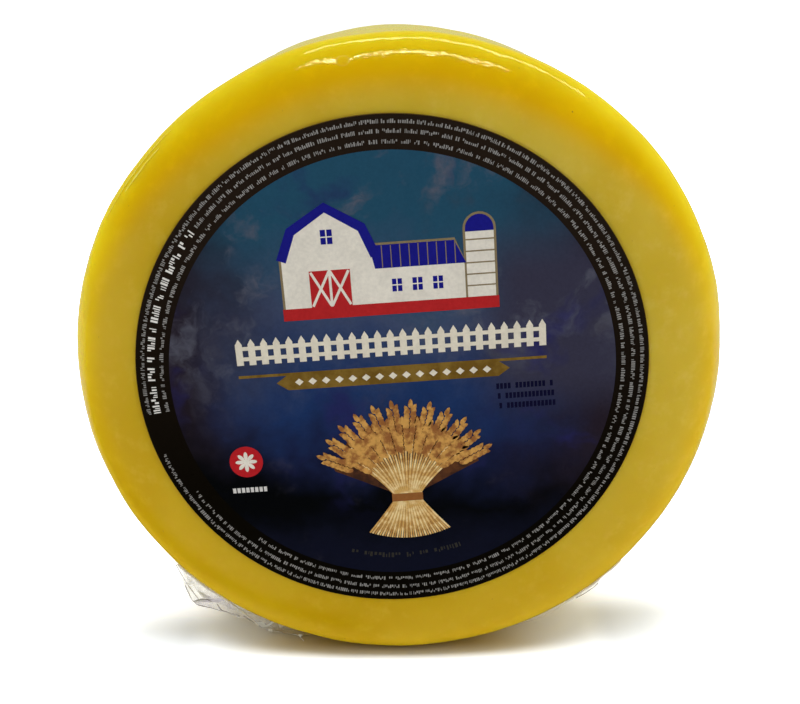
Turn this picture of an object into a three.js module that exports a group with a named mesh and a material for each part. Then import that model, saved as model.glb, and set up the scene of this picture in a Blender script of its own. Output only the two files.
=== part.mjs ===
// A whole hard cheese wheel stood on its rim, with a round printed label stuck to its front face
// and two loose ears of clear shrink film that stick out behind the front edge, low down.
// Millimetres, +Z up. The wheel's axis runs along Y and the labelled face looks towards -Y.
// The origin is on the table, under the middle of the object.
import * as THREE from 'three';

// The wheel
const WHEEL_RADIUS = 118;    // axis to the middle of the rim
const WHEEL_DEPTH = 140;     // front face to back face
const RIM_BELLY = 0.4;       // how much smaller the rim is where the edge rounding starts
const EDGE_IN = 26.6;        // rounded edge, measured in across the face
const EDGE_ALONG = 18.9;     // rounded edge, measured along the rim
const REST_SAG = 1;          // depth of the flat spot that the wheel stands on

// Pressing leaves the wheel a little out of round: lobes around it, height and where each peaks
const LOBES = [
  { count: 2, height: 0.30, peak: 43 },
  { count: 3, height: 0.12, peak: 49 },
  { count: 5, height: 0.15, peak: 24 },
];

// The label, a flat disc stuck a little off centre
const LABEL_RADIUS = 89.9;
const LABEL_THICK = 0.3;
const LABEL_SIDEWAYS = -2.7;
const LABEL_UP = 2.7;
const GAP = 0.3;             // left between pieces that lie on each other

// The loose film: angles from straight down, positive towards +X, and reach beyond the rim
const FILM_THICK = 0.8;
const FILM_BEHIND_FACE = 25; // front face to the plane of the ears
const FLOOR_CLEAR = 0.4;
const EARS = {
  film_ear_left: { wave: 1.6, waves: 2.5, edge: [[-49, 1.5], [-38.5, 11.5], [-27, 6.4], [-18, 4.3]] },
  film_ear_right: { wave: 1.2, waves: 2, edge: [[47, 1.2], [39.5, 4.4], [29, 5.4], [20, 4.4]] },
};

// How finely the round forms are cut up
const WHEEL_SIDES = 120;
const FACE_RINGS = 4;
const EDGE_STEPS = 10;
const RIM_STEPS = 10;
const LABEL_SIDES = 96;
const EAR_STEPS = 28;
const EAR_ROWS = 5;

const AXIS_HEIGHT = WHEEL_RADIUS - REST_SAG;
const HALF_DEPTH = WHEEL_DEPTH / 2;
const RIM_HALF = HALF_DEPTH - EDGE_ALONG;
const LABEL_STACK = GAP + LABEL_THICK;

const radians = THREE.MathUtils.degToRad;

// Height of the lobes at a direction around the axis, from +X towards +Z
function lobes(direction) {
  return LOBES.reduce(
    (sum, { count, height, peak }) => sum + height * Math.cos(count * (direction - radians(peak))), 0);
}

// Radius of the rim at a distance along the axis from mid-depth: a shallow parabola
function rimRadius(along) {
  return WHEEL_RADIUS - RIM_BELLY * (along / RIM_HALF) ** 2;
}

// Half the wheel's outline, from the middle of the front face round to the middle of the back
function wheelProfile() {
  const flat = rimRadius(RIM_HALF) - EDGE_IN;
  const points = [];
  for (let i = 0; i <= FACE_RINGS; i += 1) {
    points.push([flat * i / FACE_RINGS, -HALF_DEPTH]);
  }
  for (let i = 1; i <= EDGE_STEPS; i += 1) {
    const turn = Math.PI / 2 * i / EDGE_STEPS;
    points.push([flat + EDGE_IN * Math.sin(turn), -RIM_HALF - EDGE_ALONG * Math.cos(turn)]);
  }
  for (let i = 1; i < RIM_STEPS / 2; i += 1) {
    const along = RIM_HALF * (2 * i / RIM_STEPS - 1);
    points.push([rimRadius(along), along]);
  }
  const back = points.map(([radius, along]) => [radius, -along]).reverse();
  return [...points, [rimRadius(0), 0], ...back].map(([radius, along]) => new THREE.Vector2(radius, along));
}

// The lathe turns the profile about Y. Each ring then gets the lobes, and the foot is pressed flat
function wheelGeometry() {
  const geometry = new THREE.LatheGeometry(wheelProfile(), WHEEL_SIDES);
  const place = geometry.attributes.position;
  for (let i = 0; i < place.count; i += 1) {
    const grow = 1 + lobes(Math.atan2(place.getZ(i), place.getX(i))) / WHEEL_RADIUS;
    place.setX(i, place.getX(i) * grow);
    place.setZ(i, Math.max(place.getZ(i) * grow, -AXIS_HEIGHT));
  }
  return geometry;
}

// How far an ear reaches at an angle: straight lines between the corners of its outer edge
function reachAt(edge, angle) {
  const next = edge.findIndex(([corner]) => Math.abs(corner) <= Math.abs(angle));
  const [[a, reachA], [b, reachB]] = [edge[Math.max(next - 1, 0)], edge[Math.max(next, 1)]];
  return THREE.MathUtils.mapLinear(angle, a, b, reachA, reachB);
}

// One ear: a thin leaf in a plane across the axis. Its root follows the rim, its outer edge the
// corners, no lower than the table, and it waves along the axis more and more towards that edge
function earGeometry({ wave, waves, edge }) {
  const plane = FILM_BEHIND_FACE - HALF_DEPTH;
  const first = edge[0][0];
  const last = edge.at(-1)[0];
  const position = [];
  for (const side of [-1, 1]) {
    for (let i = 0; i <= EAR_STEPS; i += 1) {
      const angle = THREE.MathUtils.lerp(first, last, i / EAR_STEPS);
      const down = radians(angle);
      const root = rimRadius(plane) + lobes(down - Math.PI / 2) + GAP;
      const lowest = (AXIS_HEIGHT - FLOOR_CLEAR) / Math.cos(down);
      const outer = Math.min(rimRadius(plane) + reachAt(edge, angle), lowest);
      for (let j = 0; j <= EAR_ROWS; j += 1) {
        const out = j / EAR_ROWS;
        const radius = THREE.MathUtils.lerp(root, outer, out);
        const along = plane + wave * out * Math.sin(2 * Math.PI * waves * i / EAR_STEPS);
        position.push(radius * Math.sin(down), along + side * FILM_THICK / 2, -radius * Math.cos(down));
      }
    }
  }
  const geometry = new THREE.BufferGeometry();
  geometry.setAttribute('position', new THREE.Float32BufferAttribute(position, 3));
  geometry.setIndex(leafIndex(first < last));
  return geometry;
}

// Triangles of a leaf made of two like grids: both faces, then the four edges between them
function leafIndex(leftward) {
  const row = EAR_ROWS + 1;
  const sheet = row * (EAR_STEPS + 1);
  const index = [];
  const quad = (a, b, c, d) => index.push(...(leftward ? [a, b, c, a, c, d] : [a, c, b, a, d, c]));
  const at = (i, j, side) => side * sheet + i * row + j;
  for (let i = 0; i < EAR_STEPS; i += 1) {
    for (let j = 0; j < EAR_ROWS; j += 1) {
      quad(at(i, j, 0), at(i, j + 1, 0), at(i + 1, j + 1, 0), at(i + 1, j, 0));
      quad(at(i, j, 1), at(i + 1, j, 1), at(i + 1, j + 1, 1), at(i, j + 1, 1));
    }
    quad(at(i, 0, 0), at(i + 1, 0, 0), at(i + 1, 0, 1), at(i, 0, 1));
    quad(at(i, EAR_ROWS, 0), at(i, EAR_ROWS, 1), at(i + 1, EAR_ROWS, 1), at(i + 1, EAR_ROWS, 0));
  }
  for (let j = 0; j < EAR_ROWS; j += 1) {
    quad(at(0, j, 0), at(0, j, 1), at(0, j + 1, 1), at(0, j + 1, 0));
    quad(at(EAR_STEPS, j, 0), at(EAR_STEPS, j + 1, 0), at(EAR_STEPS, j + 1, 1), at(EAR_STEPS, j, 1));
  }
  return index;
}

function cheeseWheel() {
  const rind = new THREE.MeshStandardMaterial({ color: '#d6aa1c', roughness: 0.35, metalness: 0 });
  const mesh = new THREE.Mesh(wheelGeometry(), rind);
  mesh.name = 'cheese_wheel';
  return mesh;
}

function label() {
  const print = new THREE.MeshStandardMaterial({ color: '#16224a', roughness: 0.45, metalness: 0 });
  const mesh = new THREE.Mesh(
    new THREE.CylinderGeometry(LABEL_RADIUS, LABEL_RADIUS, LABEL_THICK, LABEL_SIDES), print);
  mesh.position.set(LABEL_SIDEWAYS, -HALF_DEPTH - GAP - LABEL_THICK / 2, LABEL_UP);
  mesh.name = 'label';
  return mesh;
}

function filmEars() {
  const film = new THREE.MeshStandardMaterial(
    { color: '#efe9d8', roughness: 0.15, metalness: 0, transparent: true, opacity: 0.35 });
  return Object.entries(EARS).map(([name, ear]) => {
    const mesh = new THREE.Mesh(earGeometry(ear), film);
    mesh.name = name;
    return mesh;
  });
}

// Everything is placed from the wheel's axis at mid-depth, which the label's stack moves back
const wheel = new THREE.Group();
wheel.add(cheeseWheel(), label(), ...filmEars());
wheel.position.set(0, LABEL_STACK / 2, AXIS_HEIGHT);

const object = new THREE.Group();
object.add(wheel);

export default object;
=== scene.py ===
"""A whole hard cheese wheel stood on its rim in a white photo tent.

The cheese has a smooth egg-yellow coating under skin-tight clear film, a round printed label on
its front face, and two loose ears of film low down behind the front edge. The print is a generic
dairy farm picture made of flat shapes, with no words.
"""
import math

import bpy
import numpy as np
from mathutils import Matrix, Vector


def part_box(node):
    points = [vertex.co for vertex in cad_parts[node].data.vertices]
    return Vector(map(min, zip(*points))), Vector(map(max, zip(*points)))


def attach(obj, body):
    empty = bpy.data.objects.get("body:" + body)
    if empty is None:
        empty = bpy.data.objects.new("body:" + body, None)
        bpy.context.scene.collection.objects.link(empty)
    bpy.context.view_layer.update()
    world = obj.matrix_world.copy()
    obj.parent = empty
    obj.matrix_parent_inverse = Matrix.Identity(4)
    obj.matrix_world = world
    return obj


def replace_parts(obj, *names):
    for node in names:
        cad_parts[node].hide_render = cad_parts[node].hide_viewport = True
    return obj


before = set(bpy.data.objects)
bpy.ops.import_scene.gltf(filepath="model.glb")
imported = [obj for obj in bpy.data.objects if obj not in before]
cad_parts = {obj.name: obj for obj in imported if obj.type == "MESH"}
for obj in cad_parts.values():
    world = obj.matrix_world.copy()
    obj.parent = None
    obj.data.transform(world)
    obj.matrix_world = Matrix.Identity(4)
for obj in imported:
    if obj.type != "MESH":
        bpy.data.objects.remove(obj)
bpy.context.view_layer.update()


# The photo tent: a camera a little above the wheel, two light bars overhead that run from side to
# side, soft grey room light, and a white table whose far half glows like the lit back of the tent.
CAMERA_PLACE = (-0.0047, -0.4243, 0.2445)
CAMERA_TURN = 0.72                # degrees to the right
CAMERA_DROP = 18.22               # degrees below level
FOCAL_PIXELS = 1070               # focal length in pixels of the 800 pixel wide picture
PICTURE_WIDTH = 800
SENSOR = 36.0
# Each lamp's left end, right end, depth, width and radiance
BARS = {"front_bar": (-0.405, 0.435, -0.235, 0.085, 55.0), "back_bar": (-0.38, 0.94, 0.42, 0.11, 11.0)}
TABLE_LAMP = (-0.5, 0.5, -0.35, 0.4, 17.0)
BAR_HEIGHT = 1.12
BAR_COLOUR = (0.95, 1, 0.62)
ROOF_GLOW = (0.95, 0.95, 0.95, 1) # radiance of the tent's roof and back wall, of its side walls,
LEFT_GLOW = (1.3, 1.3, 1.3, 1)    # and of its mouth, where the camera stands
RIGHT_GLOW = (1.8, 1.8, 1.8, 1)
MOUTH_GLOW = (0.22, 0.22, 0.22, 1)
# Along which axis each wall stands, and from where to where its glow comes in
WALLS = (("X", (-0.3, -0.85), LEFT_GLOW), ("X", (0.3, 0.85), RIGHT_GLOW),
         ("Y", (-0.4, -0.85), MOUTH_GLOW))
MIRRORED_WALL = (0.46, 0.43, 0.17, 1)  # what the walls, the roof and the bright back look like in
MIRRORED_ROOF = (0.8, 0.74, 0.29, 1)   # the cheese's gloss
MIRRORED_BACK = (0.62, 0.58, 0.27, 1)
ROOF_RISE, BACK_RISE = (0, 0.8), (0.5, 0.9)
BACKDROP = (1.15, 1.15, 1.15, 1)  # the walls are overexposed where the camera sees them
TABLE_REACH = 5.0
TABLE_SINK = 0.0002               # how far the table lies under the wheel's foot
TABLE_BOUNCE = (0.38, 0.38, 0.38, 1)  # how much light the table throws back on the cheese,
FOOT_BOUNCE = (0.7, 0.7, 0.7, 1)      # more so right under its edge
TABLE_MIRRORED = (0.12, 0.11, 0.05, 1)
BACK_MIRRORED = (0.26, 0.28, 0.42, 1)
# The table's greyer ends and its warm tint under the wheel are painted shade, which only the camera sees.
TABLE_SEEN = (0.81, 0.855, 0.91, 1) # how white the camera sees it,
TABLE_PAINTED_SHADE_ENDS = (0.64, 0.68, 0.73, 1)  # greyer where the shade ends beside the wheel,
TABLE_PAINTED_WARM_SHADE = (0.52, 0.40, 0.16, 1)  # or tinted by the cheese in the dark under the wheel
# From where to where each patch of the table comes in, in metres across or back
GAP_ASIDE, GAP_FRONT, GAP_BACK = (0.08, 0.02), (-0.066, -0.052), (0.066, 0.052)
ENDS_NEAR, ENDS_FAR = (0.076, 0.088), (0.125, 0.098)
ENDS_FRONT, ENDS_BACK = (-0.12, -0.09), (0, -0.025)
FOOT_RISE, FAR_RISE = (-0.075, -0.062), (0, 0.12)
BESIDE_NEAR, BESIDE_BACK = (0.064, 0.088), (-0.041, -0.016)
BEHIND_RISE = (0.1, 0.5)
BESIDE_GLOW = 0.63                # strength of the glow beside the wheel, and how much further
BESIDE_LEAN = -0.06               # forwards it comes for each metre to the left


def placed(name, data):
    """A new object in the scene."""
    thing = bpy.data.objects.new(name, data)
    bpy.context.scene.collection.objects.link(thing)
    return thing


def new_camera():
    """A level camera turned by its heading and then tipped down, with the photo's focal length."""
    camera = placed("photo_camera", bpy.data.cameras.new("photo_camera"))
    camera.data.sensor_width = SENSOR
    camera.data.lens = SENSOR * FOCAL_PIXELS / PICTURE_WIDTH
    camera.data.clip_start = 0.01
    camera.location = CAMERA_PLACE
    camera.rotation_euler = (math.radians(90 - CAMERA_DROP), 0, -math.radians(CAMERA_TURN))
    bpy.context.scene.camera = camera


def light_bar(name, left, right, depth, width, radiance):
    """A flat lamp facing down, from left to right. Its power is radiance times pi times its area."""
    lamp = bpy.data.lights.new(name, "AREA")
    lamp.shape = "RECTANGLE"
    lamp.size, lamp.size_y = right - left, width
    lamp.energy = radiance * math.pi * lamp.size * lamp.size_y
    bar = placed(name, lamp)
    bar.location = ((left + right) / 2, depth, BAR_HEIGHT)
    return bar


def feed(tree, target, wires):
    """Fills a node's inputs. Wires are pairs of an input's name or number and what goes there: the
    socket that feeds it, or a fixed value."""
    for socket, source in wires:
        if isinstance(source, bpy.types.NodeSocket):
            tree.links.new(source, target.inputs[socket])
        else:
            target.inputs[socket].default_value = source


def node(tree, kind, wires=(), **settings):
    """Adds a shader node and feeds it. Settings whose names match an input fill it too, and the
    others are properties."""
    new = tree.nodes.new("ShaderNode" + kind)
    for key, value in settings.items():
        title = key.replace("_", " ").title()
        if title in new.inputs:
            new.inputs[title].default_value = value
        else:
            setattr(new, key, value)
    feed(tree, new, wires)
    return new


def mixed(tree, factor, first, second, blend="MIX"):
    """A colour between two."""
    return node(tree, "Mix", [("Factor", factor), (6, first), (7, second)], data_type="RGBA",
                blend_type=blend).outputs[2]


def ranged(tree, source, low, high, least=0, most=1, ends="LINEAR"):
    """Stretches the part of a value between low and high over least to most."""
    return node(tree, "MapRange", [("Value", source)], interpolation_type=ends, from_min=low,
                from_max=high, to_min=least, to_max=most).outputs[0]


def ramped(tree, source, low, high):
    """Stretches the part of a value between low and high over 0 to 1, with soft ends."""
    return ranged(tree, source, low, high, ends="SMOOTHSTEP")


def product(tree, first, second, more=0, **settings):
    """The product of two numbers, plus a third."""
    return node(tree, "Math", [(0, first), (1, second), (2, more)], operation="MULTIPLY_ADD",
                **settings).outputs[0]


def patch(tree, *ramps):
    """The product of soft ramps, each given as its source, low and high."""
    whole, *others = (ramped(tree, *ramp) for ramp in ramps)
    for other in others:
        whole = product(tree, whole, other)
    return whole


def split(tree, vector):
    """The X, Y and Z of a vector."""
    return node(tree, "SeparateXYZ", [(0, vector)]).outputs


def unsigned(tree, number):
    """A number without its sign."""
    return node(tree, "Math", [(0, number)], operation="ABSOLUTE").outputs[0]


def room_light():
    """Glowing side walls, a dimmer roof and back wall and the dim mouth of the tent, each blended
    softly into the next, and all overexposed where the camera looks straight at them."""
    world = bpy.data.worlds.new("tent_walls")
    world.use_nodes = True
    tree = world.node_tree
    axes = split(tree, node(tree, "TexCoord").outputs["Generated"])
    glow = ROOF_GLOW
    for axis, rise, wall in WALLS:
        glow = mixed(tree, ramped(tree, axes[axis], *rise), glow, wall)
    rays = node(tree, "LightPath").outputs
    mirrored = mixed(tree, ramped(tree, axes["Z"], *ROOF_RISE), MIRRORED_WALL, MIRRORED_ROOF)
    mirrored = mixed(tree, ramped(tree, axes["Y"], *BACK_RISE), mirrored, MIRRORED_BACK)
    glow = mixed(tree, rays["Is Glossy Ray"], glow, mirrored)
    glow = mixed(tree, rays["Is Camera Ray"], glow, BACKDROP)
    feed(tree, tree.nodes["Background"], [("Color", glow)])
    bpy.context.scene.world = world


def table_material():
    """White where the camera sees it, and grey in the light it throws back, but white right under the
    wheel's edge. Its glow, which only the camera sees, grows from nothing beside the wheel to full well
    behind it, and a weaker one comes in from left and right, further on the left. Where the camera sees
    it, painted shade makes the ends of the shadow beside the wheel greyer, and a painted warm shade,
    tinted as if by light off the cheese, lies under the wheel."""
    material = bpy.data.materials.new("table_white")
    material.use_nodes = True
    tree = material.node_tree
    tree.nodes.remove(tree.nodes["Principled BSDF"])
    rays = node(tree, "LightPath").outputs
    axes = split(tree, node(tree, "TexCoord").outputs["Object"])
    aside, depth = unsigned(tree, axes["X"]), axes["Y"]
    bounce = mixed(tree, ramped(tree, depth, *FOOT_RISE), TABLE_BOUNCE, FOOT_BOUNCE)
    mirrored = mixed(tree, ramped(tree, depth, *FAR_RISE), TABLE_MIRRORED, BACK_MIRRORED)
    bounce = mixed(tree, rays["Is Glossy Ray"], bounce, mirrored)
    # Painted shade that only the camera sees: greyer ends of the shadow beside the wheel, and a warm dark
    # tint under the wheel.
    ends = patch(tree, (aside, *ENDS_NEAR), (aside, *ENDS_FAR), (depth, *ENDS_BACK),
                 (depth, *ENDS_FRONT))
    seen = mixed(tree, ends, TABLE_SEEN, TABLE_PAINTED_SHADE_ENDS)
    painted_warm_shade = patch(tree, (aside, *GAP_ASIDE), (depth, *GAP_FRONT), (depth, *GAP_BACK))
    seen = mixed(tree, painted_warm_shade, seen, TABLE_PAINTED_WARM_SHADE)
    white = node(tree, "BsdfDiffuse", [("Color", mixed(tree, rays["Is Camera Ray"], bounce, seen))])
    leaning = product(tree, axes["X"], BESIDE_LEAN, depth)
    beside = patch(tree, (aside, *BESIDE_NEAR), (leaning, *BESIDE_BACK))
    glow = product(tree, beside, BESIDE_GLOW, ramped(tree, depth, *BEHIND_RISE))
    lit = node(tree, "Emission", [("Strength", product(tree, glow, rays["Is Camera Ray"]))])
    both = node(tree, "AddShader", [(0, white.outputs[0]), (1, lit.outputs[0])])
    feed(tree, tree.nodes["Material Output"], [("Surface", both.outputs[0])])
    return material


def circle(radius, points):
    """Points round a circle."""
    turn = np.arange(points) * 2 * np.pi / points
    return radius * np.stack([np.cos(turn), np.sin(turn)], axis=1)


def table_top():
    """A wide round table."""
    rim = circle(TABLE_REACH, 96)
    mesh = bpy.data.meshes.new("table_top")
    mesh.from_pydata([(x, y, -TABLE_SINK) for x, y in rim.tolist()], [], [list(range(len(rim)))])
    mesh.materials.append(table_material())
    table = placed("table_top", mesh)
    return table


new_camera()
for bar_name, bar_values in BARS.items():
    bar = light_bar(bar_name, *bar_values)
    bar.visible_diffuse = False
    bar.data.color = BAR_COLOUR
room_light()
table_lamp = light_bar("table_lamp", *TABLE_LAMP)
table_lamp.visible_glossy = False
table_lamp.light_linking.receiver_collection = bpy.data.collections.new("lit_table")
table_lamp.light_linking.receiver_collection.objects.link(table_top())
bpy.context.scene.view_settings.view_transform = "Standard"


# The cheese: a pressed wheel with rounded edges, dipped in a smooth egg-yellow coating, with clear
# film shrunk tight on it. The press leaves it slightly out of round and its weight flattens the foot.
MM = 0.001
SAG = 1.0 * MM                    # depth of the flat spot it stands on
BELLY = 0.4 * MM                  # how much smaller the rim is where the rounding starts
EDGE_IN = 26.6 * MM               # the rounded edge, in across the face
EDGE_ALONG = 18.9 * MM            # the rounded edge, along the rim
LOBES = ((2, 0.30 * MM, 43), (3, 0.12 * MM, 49), (5, 0.15 * MM, 24))
FLAT_STEPS, EDGE_STEPS = 200, 300 # steps of the outline over a face or half the rim, and an edge
BODY_STEPS = (7, 42, 48, 36, 24)  # rings under the label, in front, over the rim, behind, and inside
BODY_TURNS = 560
BODY_HOLE = 4 * MM                # radius of the flat middle that closes each face
wheel_low, wheel_high = (np.array(corner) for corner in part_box("cheese_wheel"))
RADIUS = (wheel_high[0] - wheel_low[0]) / 2
AXIS_HEIGHT = RADIUS - SAG
FACE = wheel_low[1]
MID_DEPTH = (wheel_low[1] + wheel_high[1]) / 2
RIM_HALF = wheel_high[1] - MID_DEPTH - EDGE_ALONG
FLAT = RADIUS - BELLY - EDGE_IN   # radius of the flat part of each face

label_low, label_high = (np.array(corner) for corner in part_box("label"))
LABEL_RADIUS = (label_high[0] - label_low[0]) / 2
LABEL_X = (label_high[0] + label_low[0]) / 2
LABEL_Z = (label_high[2] + label_low[2]) / 2


def wheel_outline():
    """Radius, place along the axis and outward normal at each step of travel over the surface,
    from the middle of the front face to the middle of the back: a straight line, a quarter of an
    ellipse, half a shallow parabola, and the same again mirrored."""
    turn = np.linspace(0, np.pi / 2, EDGE_STEPS)
    half = np.linspace(-RIM_HALF, 0, FLAT_STEPS)
    radius = np.concatenate([np.linspace(0, FLAT, FLAT_STEPS)[:-1], FLAT + EDGE_IN * np.sin(turn)[:-1],
                             RADIUS - BELLY * (half / RIM_HALF) ** 2])
    along = np.concatenate([np.full(FLAT_STEPS - 1, -RIM_HALF - EDGE_ALONG),
                            -RIM_HALF - EDGE_ALONG * np.cos(turn)[:-1], half])
    radius = np.concatenate([radius, radius[-2::-1]])
    along = np.concatenate([along, -along[-2::-1]])
    travel = np.concatenate([[0], np.cumsum(np.hypot(np.diff(radius), np.diff(along)))])
    slope = np.gradient(along, travel), -np.gradient(radius, travel)
    return travel, radius, along, *(part / np.hypot(*slope) for part in slope)


TRAVEL, OUTLINE_RADIUS, OUTLINE_ALONG, NORMAL_OUT, NORMAL_ALONG = wheel_outline()
BACK_MIDDLE = TRAVEL[-1]
bent_part = slice(FLAT_STEPS - 1, 1 - FLAT_STEPS)
SHOULDER = np.interp(-RIM_HALF, OUTLINE_ALONG[bent_part], TRAVEL[bent_part])


def on_wheel(turn, travel, lift=0.0):
    """The point at an angle from straight down, positive towards +X, and a travel over the surface
    from the middle of the front face, lifted along the normal. The radius carries the lobes, a sum
    of cosines of the direction, and nothing goes below the table."""
    turn, travel, lift = np.broadcast_arrays(turn, travel, lift)
    direction = turn - np.pi / 2
    lobes = sum(h * np.cos(n * (direction - math.radians(peak))) for n, h, peak in LOBES)
    radius = np.interp(travel, TRAVEL, OUTLINE_RADIUS) * (1 + lobes / RADIUS)
    radius = radius + lift * np.interp(travel, TRAVEL, NORMAL_OUT)
    along = np.interp(travel, TRAVEL, OUTLINE_ALONG) + lift * np.interp(travel, TRAVEL, NORMAL_ALONG)
    height = np.maximum(AXIS_HEIGHT - radius * np.cos(turn), 0)
    return np.stack([radius * np.sin(turn), MID_DEPTH + along, height], axis=-1)


def ripple(place, wavelength, seed, waves=20):
    """Smooth random relief of about unit height: a sum of plane waves in random directions, whose
    lengths spread by a third either way."""
    rng = np.random.default_rng(seed)
    way = rng.normal(size=(waves, 3))
    length = wavelength * rng.uniform(0.7, 1.4, (waves, 1)) * np.linalg.norm(way, axis=1, keepdims=True)
    way *= 2 * np.pi / length
    return np.sin(place @ way.T + rng.uniform(0, 2 * np.pi, waves)).sum(axis=-1) / math.sqrt(waves / 2)


def smooth(value, start, end):
    """Rises from 0 at start to 1 at end with flat ends."""
    step = np.clip((value - start) / (end - start), 0, 1)
    return step * step * (3 - 2 * step)


def skinned(name, tubes, material, flat=False):
    """One mesh from closed tubes. A tube is an array of rings of points: neighbouring rings are
    joined by quads, and each end is closed by one face on its last ring. A tube that comes out
    inside out, by its signed volume, is turned round."""
    places, faces, start = [], [], 0
    for tube in tubes:
        rings, points, _ = tube.shape
        here = np.arange(rings * points).reshape(rings, points)
        right = np.roll(here, -1, axis=1)
        quads = np.stack([here[:-1], right[:-1], right[1:], here[1:]], axis=-1).reshape(-1, 4)
        flat_place = tube.reshape(-1, 3)
        centred = flat_place - flat_place.mean(axis=0)
        a, b, c, d = (centred[quads[:, k]] for k in range(4))
        volume = (np.cross(a, b) * c + np.cross(a, c) * d).sum()
        ends = [here[0][::-1], here[-1]]
        if volume < 0:
            quads, ends = quads[:, ::-1], [end[::-1] for end in ends]
        faces += (quads + start).tolist() + [(end + start).tolist() for end in ends]
        places.append(flat_place)
        start += rings * points
    mesh = bpy.data.meshes.new(name)
    mesh.from_pydata(np.concatenate(places).tolist(), [], faces)
    mesh.polygons.foreach_set("use_smooth", np.full(len(mesh.polygons), not flat))
    mesh.materials.append(material)
    piece = placed(name, mesh)
    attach(piece, "root")
    return piece


def shader_group(name, inputs, outputs):
    """An empty node group. Inputs are pairs of a name and a kind, and all outputs are numbers."""
    group = bpy.data.node_groups.new(name, "ShaderNodeTree")
    for title, kind in inputs:
        group.interface.new_socket(title, in_out="INPUT", socket_type="NodeSocket" + kind)
    for title in outputs:
        group.interface.new_socket(title, in_out="OUTPUT", socket_type="NodeSocketFloat")
    return group, group.nodes.new("NodeGroupInput"), group.nodes.new("NodeGroupOutput")


def noise(tree, place, scale, detail=2, roughness=0.5):
    """Soft clouds from 0 to 1, as many to a metre as the scale says."""
    return node(tree, "TexNoise", [("Vector", place)], scale=scale, detail=detail,
                roughness=roughness).outputs[0]


def bumped(tree, height, strength, distance):
    """The normal of a surface whose height goes up by the distance."""
    return node(tree, "Bump", [("Height", height)], strength=strength, distance=distance).outputs[0]


TENSION = (1, 0.22, 1)            # how far the tension lines are drawn out along the axis
LINE_SHARE = 0.35


def tight_film_group():
    """Film shrunk on a surface. Height is soft waves, with finer tension lines that run along the
    wheel's axis, and crumples where they are asked for. Haze is the patchy cling that dulls the
    gloss."""
    group, start, end = shader_group("tight_film", [("Place", "Vector"), ("Crumple", "Float")],
                                     ["Height", "Haze"])
    place = start.outputs["Place"]
    drawn = node(group, "Mapping", [("Vector", place)], scale=TENSION).outputs[0]
    height = product(group, noise(group, drawn, scale=620, detail=3), LINE_SHARE,
                     noise(group, place, scale=170))
    height = product(group, noise(group, place, scale=430), start.outputs["Crumple"], height)
    cling = noise(group, place, scale=55, detail=4, roughness=0.6)
    feed(group, end, [("Height", height), ("Haze", cling)])
    return group


TIGHT_FILM = tight_film_group()


def new_material(name):
    """A node material, its tree, its Principled shader and its Object coordinates."""
    material = bpy.data.materials.new(name)
    material.use_nodes = True
    tree = material.node_tree
    place = node(tree, "TexCoord").outputs["Object"]
    return material, tree, tree.nodes["Principled BSDF"], place


# The pale colour is painted light, laid on the right side and the upper face.
FACE_COLOUR = (0.68, 0.445, 0.020, 1)
LIT_PALE_COLOUR = (0.71, 0.52, 0.058, 1)
EDGE_COLOUR = (0.80, 0.475, 0.0, 1)
DEEP_COLOUR = (0.63, 0.405, 0.0, 1)
RIM_COLOUR = (0.91, 0.71, 0.0, 1)
DEEPER = (0.94, 0.90, 0.6, 1)
PALER = (1.05, 1.06, 1.5, 1)
SPECK = (0.42, 0.24, 0.03, 1)
# From where to where in their noises the clouds, the mottle and the specks come in
CLOUD_RISE, MOTTLE_RISE, SPECK_RISE = (0.35, 0.68), (0.45, 0.85), (0.79, 0.86)
FILM_SPECULAR = 0.12
FILM_TINT = (1, 0.97, 0.8, 1)
FILM_WAVE = 0.12 * MM
HAZE_RANGE, HAZE_GLOSS = (0.35, 0.7), (0.035, 0.08)
DULL_SPOT = on_wheel(math.radians(189.8), 111.6 * MM).tolist()
DULL_REACH = (2.6 * MM, 1.4 * MM)
DULLNESS = 0.9
GLOW_SHARE = 0.6                  # how much light wanders in the coating, and how far, in all and
GLOW_DEPTH = 0.012                # by colour
GLOW_COLOURS = (1, 0.7, 0.1)


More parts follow.
